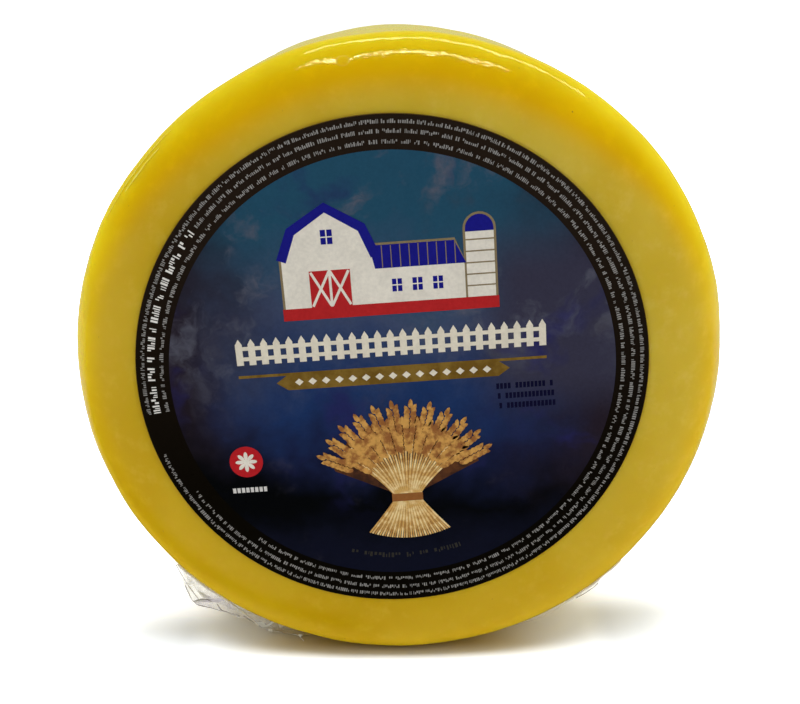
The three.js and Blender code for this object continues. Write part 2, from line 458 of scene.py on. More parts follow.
def rind_material():
    """The yellow coating seen through film. Its colour goes from a dull straw on the flat face, paler on
    the right and towards the top, to deep gold where the edge starts to round and to lemon yellow on the
    rim, with a deeper band low on the left, as four attributes say. The paler right and top are painted
    light, and so is the way the lemon and partly the gold grow towards the top. Soft clouds, a fine
    mottle and rare pale brown specks vary it. The film has lost its gloss in one small spot at the top."""
    material, tree, shader, place = new_material("yellow_rind")
    colour = FACE_COLOUR
    pale, gold, lemon, deep = (node(tree, "Attribute", attribute_name=name).outputs["Fac"]
                               for name in ("pale", "gold", "lemon", "deep"))
    for share, tone in ((pale, LIT_PALE_COLOUR), (gold, EDGE_COLOUR), (lemon, RIM_COLOUR),
                        (deep, DEEP_COLOUR)):
        colour = mixed(tree, share, colour, tone)
    clouds = noise(tree, place, scale=26)
    mottle = noise(tree, place, scale=150, detail=4, roughness=0.6)
    specks = noise(tree, place, scale=480, detail=1)
    tint = mixed(tree, ramped(tree, clouds, *CLOUD_RISE), DEEPER, (1, 1, 1, 1))
    tint = mixed(tree, ramped(tree, mottle, *MOTTLE_RISE), tint, PALER)
    colour = mixed(tree, 1, colour, tint, "MULTIPLY")
    colour = mixed(tree, ramped(tree, specks, *SPECK_RISE), colour, SPECK)
    film = node(tree, "Group", [("Place", place), ("Crumple", gold)], node_tree=TIGHT_FILM).outputs
    away = node(tree, "VectorMath", [(0, place), (1, DULL_SPOT)], operation="DISTANCE").outputs["Value"]
    gloss = product(tree, ramped(tree, away, *DULL_REACH), DULLNESS,
                    ranged(tree, film["Haze"], *HAZE_RANGE, *HAZE_GLOSS))
    feed(tree, shader, [
        ("Base Color", colour), ("Roughness", gloss),
        ("Normal", bumped(tree, film["Height"], 1, FILM_WAVE)),
        ("Specular IOR Level", FILM_SPECULAR), ("Specular Tint", FILM_TINT),
        ("Subsurface Weight", GLOW_SHARE), ("Subsurface Scale", GLOW_DEPTH),
        ("Subsurface Radius", GLOW_COLOURS)])
    return material


# Height, wavelength and seed of each swell, and how far from the label they are full
SWELLS = ((0.10 * MM, 32 * MM, 3), (0.022 * MM, 8 * MM, 4))
BARE_RISE = (0.3 * MM, 5 * MM)
DIMPLE = on_wheel(math.radians(189.1), 114.8 * MM)
DIMPLE_WIDTH = 1.9 * MM
DIMPLE_DEPTH = 0.26 * MM


def rind_relief(place):
    """Gentle hollows and swells about 30 mm across with faint ones of 8 mm, none under the label,
    and one round dimple at the top, a bell curve deep."""
    out = np.hypot(place[..., 0] - LABEL_X, place[..., 2] - LABEL_Z) - LABEL_RADIUS
    bare = np.where(place[..., 1] < MID_DEPTH, smooth(out, *BARE_RISE), 1)
    away = np.linalg.norm(place - DIMPLE, axis=-1) / DIMPLE_WIDTH
    waves = sum(height * ripple(place, wavelength, seed) for height, wavelength, seed in SWELLS)
    return bare * waves - DIMPLE_DEPTH * np.exp(-away ** 2 / 2)


FADE = 80 * MM                    # tones that follow the clock fade this near the middle of a face
GOLD_START, GOLD_DRIFT, GOLD_RISE = 95, 7, 12  # in mm of travel: the hump starts later lower down
GOLD_END = (121 * MM, 113 * MM)
# The lemon's cut low on the right is painted shade.
LOW_RIGHT = math.radians(68)
LOW_RIGHT_END = (127 * MM, 119 * MM)
LOW_RIGHT_CUT = 0.75
# The side that is painted lighter.
LIT_PALE_SIDE = math.radians(115)
DEEP_MIDDLE, DEEP_DRIFT, DEEP_WIDTH = 112, 11, 4.5  # in mm of travel
DEEP_TURNS = (285, 345)           # degrees between which the band drifts, and those of its ends
DEEP_TOP, DEEP_FOOT = (265, 300), (359, 345)


def coating(turn, travel):
    """How pale, lemon, golden and deep the coating is. Pale is painted light: the right side and less so
    the upper half, fading to the middle of the back. Lemon grows with the outward slope, less so at the
    foot and on the edges low on the right; its fall towards the foot is painted light from above, and its
    cut low on the right is painted shade. Gold is a hump over the start of each rounded edge, deepest at
    the top and least at the foot, which is partly painted light from above. Deep is a band along the left
    of the foot, a bell curve across, that drifts inwards as it goes down."""
    inward = np.minimum(travel, BACK_MIDDLE - travel)
    out = np.minimum(inward / FADE, 1)
    high = -np.cos(turn) * out
    start = (GOLD_START + GOLD_DRIFT * smooth(high, 0.9, 0.45)) * MM
    hump = smooth(inward - start, 0, GOLD_RISE * MM) * smooth(inward, *GOLD_END)
    low_right = smooth(np.cos(turn - LOW_RIGHT), 0.6, 0.95) * smooth(inward, *LOW_RIGHT_END)
    slope = smooth(np.interp(travel, TRAVEL, NORMAL_OUT), 0.35, 1) * (1 - LOW_RIGHT_CUT * low_right)
    right = smooth(np.cos(turn - LIT_PALE_SIDE) * out, -0.3, 0.9)
    degrees = np.degrees(turn)
    off_band = inward / MM - DEEP_MIDDLE + DEEP_DRIFT * smooth(degrees, *DEEP_TURNS)
    band = np.exp(-(off_band / DEEP_WIDTH) ** 2)
    # Pale is painted light; the lemon's rise towards the top is painted light from above and the gold's
    # partly so; the lemon's cut low on the right is painted shade.
    return {"deep": 0.85 * band * smooth(degrees, *DEEP_TOP) * smooth(degrees, *DEEP_FOOT),
            "pale": 0.6 * right + 0.4 * smooth(high, -0.8, 0.3),
            "lemon": slope * (0.25 + 0.75 * smooth(-np.cos(turn), -0.9, 0.2)),
            "gold": hump * (0.15 + 0.25 * smooth(high, -0.95, -0.2) + 0.6 * smooth(high, 0.2, 0.62))}


def cheese_body():
    """Rings round the axis at steps of travel that are finest over the rounded edges."""
    bare = LABEL_RADIUS - 10 * MM
    stations = (BODY_HOLE, bare, SHOULDER, BACK_MIDDLE - SHOULDER, BACK_MIDDLE - bare,
                BACK_MIDDLE - BODY_HOLE)
    stretches = [np.linspace(start, end, steps)[:-1]
                 for start, end, steps in zip(stations, stations[1:], BODY_STEPS)]
    travel = np.concatenate([*stretches, stations[-1:]])
    turn = np.linspace(0, 2 * np.pi, BODY_TURNS + 1)[:-1]
    turn, travel = np.meshgrid(turn, travel)
    relief = rind_relief(on_wheel(turn, travel))
    body = skinned("cheese_body", [on_wheel(turn, travel, relief)], rind_material())
    for name, value in coating(turn, travel).items():
        body.data.attributes.new(name, "FLOAT", "POINT").data.foreach_set("value", value.ravel())
    return body


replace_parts(cheese_body(), "cheese_wheel")


# The pinches: two low ridges at the upper left of the front edge, where the clear film bunched as it
# shrank and stands a little off the coating. They are of the film, half sunk in the surface, and their
# bright pale yellow is partly a painted highlight for the glints along them.
PINCHES = (((225.5, 117.4), (229, 117.7), (232, 117.5), (235.2, 117.7)),
           ((222, 120.0), (229, 120.2), (241, 119.8)))
PINCH_HALF, PINCH_RISE = 0.46 * MM, 0.18 * MM
# Both yellows are brighter than the rim's as a painted highlight.
PINCH_GLINT_PALE = (1, 0.92, 0.16, 1)
PINCH_GLINT_DEEP = (0.96, 0.78, 0.05, 1)


def unit_rows(way):
    """Each direction over its own length."""
    return way / np.linalg.norm(way, axis=-1, keepdims=True)


def pinch(line):
    """A low ridge along pairs of an angle in degrees and a travel in mm: ovals half sunk in the
    coating, square to the line, that shrink towards both ends like the root of a sine."""
    angles, travels = np.array(line).T
    step = np.linspace(0, len(line) - 1, 12 * len(line))
    turn = np.radians(np.interp(step, range(len(line)), angles))
    travel = np.interp(step, range(len(line)), travels) * MM
    relief = rind_relief(on_wheel(turn, travel))
    middle = on_wheel(turn, travel, relief)
    normal = (on_wheel(turn, travel, relief + MM) - middle) / MM
    side = unit_rows(np.cross(np.gradient(middle, axis=0), normal))
    size = np.sqrt(np.sin(np.linspace(0.03, math.pi - 0.03, len(step))))[:, None, None]
    oval = circle(1, 10)
    ring = PINCH_HALF * oval[:, :1] * side[:, None] + PINCH_RISE * oval[:, 1:] * normal[:, None]
    return middle[:, None] + size * ring


def pinch_material():
    """Film lifted off the coating, paler than the coating in uneven stretches, and brighter still as a
    painted highlight for the glints along the ridges.
    """
    material, tree, shader, place = new_material("pinched_film_glint")
    stretches = noise(tree, place, scale=180)
    feed(tree, shader, [
        ("Base Color", mixed(tree, ramped(tree, stretches, 0.38, 0.6), PINCH_GLINT_DEEP, PINCH_GLINT_PALE)),
        ("Roughness", ranged(tree, stretches, 0, 1, 0.08, 0.2))])
    return material


skinned("film_pinches", [pinch(line) for line in PINCHES], pinch_material())


# The label: a round sheet of coated paper laid on the front face, under the film. Its border is
# printed black, and the round field inside is printed like a painted evening sky.
LABEL_FACE = label_low[1]
LABEL_EDGE = 0.12 * MM            # radius of the paper's cut edge
LABEL_SINK = 0.1 * MM             # how deep its back is bedded in the coating
INK = 0.03 * MM                   # thickness of each layer of print
HAIR, HAIRS = 0.0006 * MM, 40     # what sets neighbouring plates of one layer apart, and how many
INK_REACH = 89.7                  # in mm, as all measures of the print: how far its black border goes
FIELD_REACH = 78.2
PRINT_TURN = math.radians(3.9)    # the label was laid on a little crooked
LABEL_SPECULAR = 0.025
GRAIN_RANGE, GRAIN_TONES, GRAIN_GLOSS = (0.3, 0.7), (0.93, 1.04), (0.26, 0.42)
PATCH_RISE = (0.38, 0.62)
PAINTED_SHEEN_FOOT, PAINTED_SHEEN_TOP = 0.06, 0.08  # the painted sheen greys the border from this far under its middle to this far over


def srgb(red, green, blue):
    """A colour of 0 to 255 parts as the linear colour that shaders take."""
    part = np.array([red, green, blue]) / 255
    linear = np.where(part <= 0.04045, part / 12.92, ((part + 0.055) / 1.055) ** 2.4)
    return (*linear.tolist(), 1)


PAPER = srgb(96, 74, 30)
# The greyer black at the top is painted sheen.
BLACK_FOOT = srgb(10, 7, 3)
BLACK_SHEEN_TOP = srgb(36, 27, 20)
SKY_TEAL = srgb(36, 78, 102)
SKY_HAZE = srgb(64, 76, 106)
SKY_BLUE = srgb(28, 52, 98)
SKY_DUSK = srgb(25, 32, 66)
SKY_LOW = srgb(4, 6, 10)
SKY_FOOT = srgb(15, 18, 36)
SKY_PLUM = srgb(38, 30, 40)
SKY_MAUVE = srgb(56, 55, 74)
SKY_CLOUD = srgb(92, 94, 108)
SKY_SMOKE = srgb(64, 60, 68)
SKY_INDIGO = srgb(38, 38, 92)
SKY_STOPS = ((0.0, SKY_FOOT), (0.16, SKY_LOW), (0.33, SKY_DUSK), (0.45, SKY_BLUE), (0.62, SKY_HAZE),
             (0.85, SKY_TEAL))
SKY_UNIT = 0.078                  # the sky is worked out in units of this reach
SKY_BEND = 0.9
SKY_LEAN = 0.35                   # the dark foot rises by this much for each unit to the left


def turned(points, angle):
    """Points across and up, turned anticlockwise: across times the angle's cosine less up times
    its sine, and across times its sine plus up times its cosine."""
    across, up = points[..., 0], points[..., 1]
    cos, sin = np.cos(angle), np.sin(angle)
    return np.stack([across * cos - up * sin, across * sin + up * cos], axis=-1)


def on_label(points, lift):
    """Points given in mm across and up the print, as points at a height in front of the paper: the
    print is turned anticlockwise round the middle of the label."""
    flat = turned(points * MM, PRINT_TURN)
    x, z = LABEL_X + flat[..., 0], LABEL_Z + flat[..., 1]
    return np.stack([x, np.full_like(x, LABEL_FACE - lift), z], axis=-1)


def printed(name, outlines, layer, material):
    """Flat closed plates of ink, one for each outline in mm, whose top is some layers above the
    paper and whose foot is sunk in it. Plates that cross never share a plane."""
    tubes = [np.stack([on_label(line, -INK), on_label(line, layer * INK + place % HAIRS * HAIR)])
             for place, line in enumerate(outlines)]
    return skinned(name, tubes, material, flat=True)


def print_grain_group():
    """Ink on coated paper. Tone is a faint mottle of its cover, Gloss is where the film above
    clings less, and Height is the paper's own slight waviness."""
    looks = {"Tone": (900, 3), "Gloss": (90, 3), "Height": (60, 2)}
    group, start, end = shader_group("print_grain", [("Place", "Vector")], looks)
    place = start.outputs["Place"]
    feed(group, end, [(title, noise(group, place, *look)) for title, look in looks.items()])
    return group


PRINT_GRAIN = print_grain_group()


def finish_print(tree, shader, place, colour):
    """Gives a printed colour its grain, its satin gloss and its low shine."""
    grain = node(tree, "Group", [("Place", place)], node_tree=PRINT_GRAIN).outputs
    tone = ranged(tree, grain["Tone"], *GRAIN_RANGE, *GRAIN_TONES)
    feed(tree, shader, [
        ("Base Color", mixed(tree, 1, colour, tone, "MULTIPLY")),
        ("Roughness", ranged(tree, grain["Gloss"], *GRAIN_RANGE, *GRAIN_GLOSS)),
        ("Normal", bumped(tree, grain["Height"], 0.4, 0.3 * MM)),
        ("Specular IOR Level", LABEL_SPECULAR)])


def ink_material(name, colour, second=None, fineness=160):
    """One ink, or one that wanders between two colours in soft patches."""
    material, tree, shader, place = new_material(name)
    if second is None:
        second = tuple(part * 0.95 for part in colour[:3]) + (1,)
    patches = noise(tree, place, fineness, detail=3, roughness=0.6)
    finish_print(tree, shader, place, mixed(tree, ramped(tree, patches, *PATCH_RISE), colour, second))
    return material


def label_paper():
    """A disc with a rounded cut edge: rings shrink over the edge to the flat front."""
    edge = np.linspace(0, np.pi / 2, 5)
    radius = np.concatenate([[LABEL_RADIUS], LABEL_RADIUS - LABEL_EDGE * (1 - np.cos(edge))])
    depth = np.concatenate([[FACE + LABEL_SINK], LABEL_FACE + LABEL_EDGE * (1 - np.sin(edge))])
    ring = circle(1, 360)
    tube = np.stack([LABEL_X + radius[:, None] * ring[:, 0],
                     np.broadcast_to(depth[:, None], (len(depth), len(ring))),
                     LABEL_Z + radius[:, None] * ring[:, 1]], axis=-1)
    return skinned("label_paper", [tube], ink_material("label_paper", PAPER))


def border_ink():
    """Black that is a little greyer towards the top: a painted sheen, for the film's reflection over it
    there.
    """
    material, tree, shader, place = new_material("border_black")
    # The greying towards the top is painted sheen.
    haze = ramped(tree, split(tree, place)["Z"], LABEL_Z - PAINTED_SHEEN_FOOT, LABEL_Z + PAINTED_SHEEN_TOP)
    finish_print(tree, shader, place, mixed(tree, haze, BLACK_FOOT, BLACK_SHEEN_TOP))
    return material


def painted_sky():
    """Evening sky in thick paint, worked out from the place on the label: height bands from teal at
    the top through dusky blue to near black, a little bluer at the very foot, bent by noise. Over
    them lie plum shade at the sides, a mauve one on the right, the dark foot, grey clouds above,
    dim smoke and indigo patches, each where its ramps are all full."""
    material, tree, shader, place = new_material("painted_sky")
    unit = node(tree, "Mapping", [("Vector", place)], vector_type="TEXTURE", scale=[SKY_UNIT] * 3,
                location=(LABEL_X, LABEL_FACE, LABEL_Z), rotation=(0, -PRINT_TURN, 0)).outputs[0]
    swirl = node(tree, "TexNoise", [("Vector", unit)], scale=1.7, detail=4,
                 roughness=0.6).outputs["Color"]
    bend = node(tree, "VectorMath", [(0, swirl), (1, [0.5] * 3)], operation="SUBTRACT").outputs[0]
    bent = node(tree, "VectorMath", [(0, bend), (1, [SKY_BEND] * 3), (2, unit)],
                operation="MULTIPLY_ADD").outputs[0]
    axes, straight = split(tree, bent), split(tree, unit)
    bands = node(tree, "ValToRGB", [("Fac", ranged(tree, axes["Z"], -1, 1))])
    stops = bands.color_ramp.elements
    while len(stops) < len(SKY_STOPS):
        stops.new(0.5)
    for element, (stop, colour) in zip(stops, SKY_STOPS):
        element.position = stop
        element.color = colour
    low = product(tree, axes["X"], SKY_LEAN, axes["Z"])
    clouds = noise(tree, bent, scale=2.6, detail=5, roughness=0.62)
    smoke = noise(tree, unit, scale=3.4, detail=4, roughness=0.6)
    inky = noise(tree, bent, scale=2.2, detail=3)
    sky = bands.outputs[0]
    for tone, *ramps in (
            (SKY_PLUM, (unsigned(tree, axes["X"]), 0.4, 1.05)),
            (SKY_MAUVE, (straight["X"], 0.25, 0.6), (straight["Z"], -0.3, -0.02),
             (straight["Z"], 0.75, 0.4)),
            (SKY_LOW, (low, -0.3, -0.75)),
            (SKY_FOOT, (axes["Z"], -0.62, -0.95)),
            (SKY_CLOUD, (clouds, 0.5, 0.72), (axes["Z"], -0.25, 0.45)),
            (SKY_SMOKE, (smoke, 0.58, 0.9)),
            (SKY_INDIGO, (inky, 0.55, 0.8), (low, -0.9, -0.2))):
        sky = mixed(tree, patch(tree, *ramps), sky, tone)
    finish_print(tree, shader, place, sky)
    return material


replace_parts(label_paper(), "label")
printed("label_border", [circle(INK_REACH, 360)], 1, border_ink())
printed("label_field", [circle(FIELD_REACH, 360)], 2, painted_sky())


# The small print: three rows of pale strokes printed in grey ink round the black border, with one
# stretch of the middle row large and white. They look as fine print does that is too small to read.
ROWS = (87.45, 84.3, 80.85)
ROW_START = math.radians(186)     # where the rows start, going clockwise, and how far they run
ROW_SWEEPS = np.radians([350, 338, 318])
BOLD_SWEEP = math.radians(47)
BOLD_END = BOLD_SWEEP + 0.02      # where the small print of the middle row starts
STROKE_HEIGHT, STROKE_WIDTH = 1.35, 0.34
BOLD_HEIGHT, BOLD_WIDTH = 2.5, 0.5


def stroke_row(radius, start, sweep, height, width, seed):
    """Strokes in words of 2 to 11, with a wider space after each word. Each is a box of four
    corners, bent to the ring. A draw makes some of them low and cuts the foot off a few."""
    rng = np.random.default_rng(seed)
    count = int(sweep * radius / (width * 1.5))
    widths = width * rng.uniform(0.5, 1.6, count)
    gaps = width * rng.uniform(0.55, 1.15, count)
    words = np.cumsum(rng.integers(2, 12, count))
    gaps[words[words < count]] += rng.uniform(1.6, 3.4) * width
    left = np.cumsum(widths + gaps) - widths
    kept = left + widths < sweep * radius
    left, widths = left[kept], widths[kept]
    draw = rng.random(len(left))
    tops = height * np.where(draw < 0.45, rng.uniform(0.5, 0.8, len(left)), 1)
    feet = height * np.where(draw > 0.85, rng.uniform(0.3, 0.55, len(left)), 0)
    angle = start - np.stack([left, left + widths, left + widths, left], axis=1) / radius
    reach = radius - height / 2 + np.stack([feet, feet, tops, tops], axis=1)
    return np.stack([reach * np.cos(angle), reach * np.sin(angle)], axis=-1)


def inked(name, outlines, layer, ink, *looks):
    """Plates printed in an ink of a name and looks."""
    printed(name, outlines, layer, ink_material(ink, *looks))


small_rows = [stroke_row(ROWS[row], ROW_START - skipped, ROW_SWEEPS[row] - skipped, STROKE_HEIGHT,
                         STROKE_WIDTH, seed)
              for row, skipped, seed in ((0, 0, 20), (2, 0, 22), (1, BOLD_END, 31))]
bold_row = stroke_row(ROWS[1] + 0.2, ROW_START, BOLD_SWEEP, BOLD_HEIGHT, BOLD_WIDTH, 30)
inked("small_print", np.concatenate(small_rows), 2, "pale_grey_ink", srgb(150, 148, 145))
inked("large_print", bold_row, 2, "white_ink", srgb(236, 234, 228))


# The picture at the top of the label: a dairy farm printed in flat inks over the sky, a barn with a
# bent roof, a long shed and a milk silo, each edged in dull gold.
GOLD_EDGE = 0.8
FARM_FOOT = 24
BARN = np.array([(-35, 24), (-3, 24), (-3, 43), (-7, 53), (-19, 60.5), (-31, 53), (-35, 43)])
SHED = np.array([(-3, 24), (27, 24), (27, 38), (23.5, 46.5), (-4.4, 46.5), (-3, 43)])
SHED_ROOF = np.array([(-3.4, 38.4), (27.6, 38.4), (23.8, 46.5), (-5, 46.5)])
SHED_WINDOWS = (2, 9, 16)
SILO_MIDDLE, SILO_HALF, SILO_TOP = 32.5, 4.8, 50.0
SILO_LEFT, SILO_RIGHT = SILO_MIDDLE - SILO_HALF, SILO_MIDDLE + SILO_HALF
DOOR_BRACES = (((-25.5, 26.6), (-19.2, 38.6)), ((-25.5, 38.6), (-19.2, 26.6)),
               ((-18.8, 26.6), (-12.5, 38.6)), ((-18.8, 38.6), (-12.5, 26.6)), ((-19, 26.2), (-19, 39)))
CREAM = srgb(236, 230, 216)
ROYAL = srgb(28, 28, 134)
RED = srgb(186, 40, 42)
DULL_GOLD = srgb(140, 124, 92)


def grown(outline, by):
    """The outline with every side moved outwards: each corner goes along the sum of its two side
    normals, divided by one plus their product."""
    side = unit_rows(np.roll(outline, -1, axis=0) - outline)
    normal = np.stack([side[:, 1], -side[:, 0]], axis=1)
    before = np.roll(normal, 1, axis=0)
    return outline + by * (normal + before) / (1 + (normal * before).sum(axis=1, keepdims=True))


def band(line, width):
    """A strip of some width along an open line of points, to its left and right by half."""
    line = np.array(line, float)
    way = unit_rows(np.gradient(line, axis=0))
    beside = np.stack([-way[:, 1], way[:, 0]], axis=1) * width / 2
    return np.concatenate([line + beside, (line - beside)[::-1]])


def box(left, bottom, right, top):
    """The four corners of an upright rectangle."""
    return np.array([(left, bottom), (right, bottom), (right, top), (left, top)])


def silo(foot):
    """Straight sides from a foot up to half a circle."""
    dome = circle(SILO_HALF, 24)[:13] + (SILO_MIDDLE, SILO_TOP)
    return np.concatenate([[(SILO_LEFT, foot), (SILO_RIGHT, foot)], dome])


def farm():
    """Gold plates a little larger than the walls lie under them, roofs and doors on top."""
    walls = [BARN, SHED, silo(FARM_FOOT)]
    inked("farm_outline", [grown(wall, GOLD_EDGE) for wall in walls], 3, "dull_gold_ink", DULL_GOLD)
    inked("farm_walls", walls, 4, "cream_ink", CREAM)
    roofs = [band(BARN[2:], 3.4), SHED_ROOF, silo(SILO_TOP - 1)]
    windows = [box(u, 30, u + 3.4, 34.5) for u in SHED_WINDOWS] + [box(-21, 48, -17, 53)]
    inked("farm_blue", roofs + windows, 5, "royal_blue_ink", ROYAL)
    inked("farm_red", [box(-36, 22, 38.3, 26.2), box(-26, 26.2, -12, 39)], 5, "red_ink", RED)
    braces = [band(line, 0.9) for line in DOOR_BRACES]
    panes = [band(line, 0.4) for u in SHED_WINDOWS
             for line in (((u + 1.7, 30), (u + 1.7, 34.5)), ((u, 32.3), (u + 3.4, 32.3)))]
    panes += [box(-19.2, 48, -18.8, 53), box(-21, 50.3, -17, 50.7)]
    inked("farm_door_braces", braces + panes, 6, "door_cream_ink", CREAM)
    hoops = [box(SILO_LEFT, up, SILO_RIGHT, up + 0.45) for up in range(30, 50, 4)]
    seams = [box(-3.4 + 0.62 * k, 38.6, -3.1 + 0.62 * k, 46.3) for k in range(4, 46, 5)]
    inked("farm_lines", hoops + seams, 6, "dull_gold_line_ink", DULL_GOLD)


farm()


# The middle of the picture: a cream picket fence above a gold path with a row of small lozenges.
# Both are flat ink printed over the sky, and the lozenges are printed over the path.
PICKETS = 25
FENCE_HALF = 54.0
FENCE_FOOT, FENCE_TOP = 7.0, 16.6
PICKET_HALF, PICKET_POINT = 1.2, 2
RAILS, RAIL_WIDTH = (8.6, 12.4), 1.4
PATH_BAND = np.array([(-41, -0.4), (-37, -3.2), (37, -3.2), (41, -0.4), (37, 2.4), (-37, 2.4)])
LOZENGE = np.array([(-1.5, 0), (0, -1.3), (1.5, 0), (0, 1.3)])
LOZENGES, LOZENGE_REACH, LOZENGE_HEIGHT = 15, 33, -0.4
FENCE_CREAM = srgb(232, 224, 204)
PATH_GOLD, PATH_BROWN = srgb(132, 104, 44), srgb(112, 84, 30)


def in_row(outline, count, reach, height=0):
    """Copies of an outline at even steps from left to right."""
    middles = np.linspace(-reach, reach, count)
    return outline + np.stack([middles, np.full(count, height)], axis=1)[:, None]


def fence():
    """Pointed boards at even steps, and two rails."""
    board = np.array([(-PICKET_HALF, FENCE_FOOT), (PICKET_HALF, FENCE_FOOT),
                      (PICKET_HALF, FENCE_TOP - PICKET_POINT), (0, FENCE_TOP),
                      (-PICKET_HALF, FENCE_TOP - PICKET_POINT)])
    boards = in_row(board, PICKETS, FENCE_HALF - PICKET_HALF)
    rails = [box(-FENCE_HALF, up, FENCE_HALF, up + RAIL_WIDTH) for up in RAILS]
    inked("fence", [*boards, *rails], 3, "fence_cream_ink", FENCE_CREAM)


def gold_path():
    """A thin gold line, a band with pointed ends under it, and lozenges along the band."""
    line = box(-FENCE_HALF, 2.2, FENCE_HALF, 3.2)
    inked("gold_path", [PATH_BAND, line], 3, "path_gold_ink", PATH_GOLD, PATH_BROWN)
    lozenges = in_row(LOZENGE, LOZENGES, LOZENGE_REACH, LOZENGE_HEIGHT)
    inked("path_lozenges", lozenges, 4, "lozenge_cream_ink", FENCE_CREAM)


fence()
gold_path()


# The lower half of the picture: a tied sheaf of wheat, straw bundled at the waist and a fan of heavy
# ears. It is printed in straw and brown inks, from the shade behind it to the tie in front.
TIE = (2.0, -47.5)
TIE_HALF = (5.6, 1.5)
STALKS = 34
STALK_WIDTH = 0.62
WAIST_HALF = 4.2
# Height of the middle stalk, how much lower the outer ones are, their flare and its power
ABOVE_TIE, BELOW_TIE = (24, 5, 19, 1.3), (-16.5, -3, 10.5, 1.1)
# Widest lean, count and reach of the ears behind and in front
EAR_FANS = ((1.12, 12, 25.5), (0.98, 11, 19.0))
KERNEL_HALF, KERNEL_LENGTH, KERNEL_POINT = 0.86, 1.75, 0.5
KERNEL_STEP, KERNEL_TILT = 1.75, 0.5
STRAW_FINE = 300                  # fineness of the patches in straw and ears
STRAW = srgb(214, 170, 98)
STRAW_PALE = srgb(240, 216, 160)
STRAW_TAN = srgb(176, 126, 66)
EAR_GOLD, EAR_BROWN = srgb(212, 160, 84), srgb(150, 96, 52)
WAIST_TAN, WAIST_BROWN = srgb(140, 96, 50), srgb(112, 72, 36)
SHADE_WARM, SHADE_DARK = srgb(96, 58, 34), srgb(60, 38, 30)
TIE_BROWN = srgb(150, 96, 50)


def stalk_lines(rise, drop, flare, power):
    """Each stalk's middle line from the tie: it rises evenly, less so at the sides, and spreads
    with a power of the way."""
    spread = np.linspace(-1, 1, STALKS)[:, None]
    way = np.linspace(0, 1, 12)
    up = TIE[1] + way * (rise - drop * spread ** 2)
    over = TIE[0] + spread * (WAIST_HALF + flare * way ** power)
    return np.stack([over, up], axis=-1)


def ears():
    """Ear middles and leans in two fans, the back one higher."""
    lean = np.concatenate([np.linspace(-widest, widest, count) for widest, count, _ in EAR_FANS])
    reach = np.concatenate([np.full(count, far) for _, count, far in EAR_FANS])
    middle = np.stack([TIE[0] + np.sin(lean) * reach * 1.02, TIE[1] + 3.5 + np.cos(lean) * reach], axis=1)
    return middle, lean


def kernels():
    """Drop shapes in two rows up each ear and one at its tip, each turned out from the ear's line."""
    cos, sin = circle(1, 8).T
    drop = np.stack([KERNEL_HALF * sin, KERNEL_LENGTH * cos + KERNEL_POINT * cos ** 2], axis=1)
    row = np.arange(6) * KERNEL_STEP
    along = np.concatenate([row - 4.2, row - 3.4, [6.9]])
    beside = np.repeat([-1.0, 1.0, 0], [6, 6, 1])
    middle, lean = ears()
    kernel = turned(drop, -(KERNEL_TILT * beside + lean[:, None])[..., None])
    place = middle[:, None] + turned(np.stack([beside, along], axis=1), -lean[:, None])
    return (kernel + place[:, :, None]).reshape(-1, 8, 2)


def sheaf():
    """Brown shade behind the ears, straw over it, then the ears and the tie."""
    lean = np.linspace(-1.2, 1.2, 60)
    fan = 29 * np.stack([0.94 * np.sin(lean), np.cos(lean)], axis=1)
    fan *= (1 + 0.05 * np.sin(np.linspace(0, 46, 60)))[:, None]
    shade = np.concatenate([fan + TIE + (0, 1.5), [(TIE[0] + 5, TIE[1] + 2), (TIE[0] - 5, TIE[1] + 2)]])
    inked("sheaf_shade", [shade], 3, "sheaf_shade_ink", SHADE_WARM, SHADE_DARK)
    upper, lower = stalk_lines(*ABOVE_TIE), stalk_lines(*BELOW_TIE)
    waist = np.concatenate([lower[0], lower[-1][::-1]])
    inked("sheaf_waist", [waist], 4, "waist_ink", WAIST_TAN, WAIST_BROWN, STRAW_FINE)
    for first, name, *colours in ((0, "sheaf_straw", STRAW, STRAW_TAN),
                                  (1, "sheaf_pale_straw", STRAW_PALE, STRAW)):
        stalks = [band(line, STALK_WIDTH) for line in (*upper[first::2], *lower[first::2])]
        inked(name, stalks, 5 + first, name + "_ink", *colours, STRAW_FINE)
    inked("sheaf_ears", kernels(), 7, "ear_ink", EAR_GOLD, EAR_BROWN, STRAW_FINE)
    tie = box(-TIE_HALF[0], -TIE_HALF[1], *TIE_HALF) + TIE
    inked("sheaf_tie", [tie], 8, "tie_ink", TIE_BROWN)


sheaf()


# The small marks beside the picture, in flat ink on the sky: a red round with a cream daisy, a dash
# row under it, three rows of date dashes in dark ink and a faint dash row along the foot.
ROUND_MIDDLE = (-55.0, -29.5)
PETAL, PETAL_OUT = (1.55, 0.72), 2.35
DATE_START, DATE_STEP = np.array([36, -8.1]), np.array([0.4, -3.7])
DATE_LENGTH = 19.4
ROUND_RED = srgb(190, 34, 40)
DASH_WHITE = srgb(216, 214, 210)
DATE_BLUE = srgb(14, 14, 46)
FAINT_OLIVE = srgb(52, 50, 46)


def dash_row(left, right, foot, height, step, seed):
    """Upright boxes at even steps, with a few left out by a draw."""
    lefts = np.arange(left, right, step)
    lefts = lefts[np.random.default_rng(seed).random(len(lefts)) < 0.88]
    return box(0, 0, 0.72 * step, height) + np.stack([lefts, np.full_like(lefts, foot)], axis=1)[:, None]


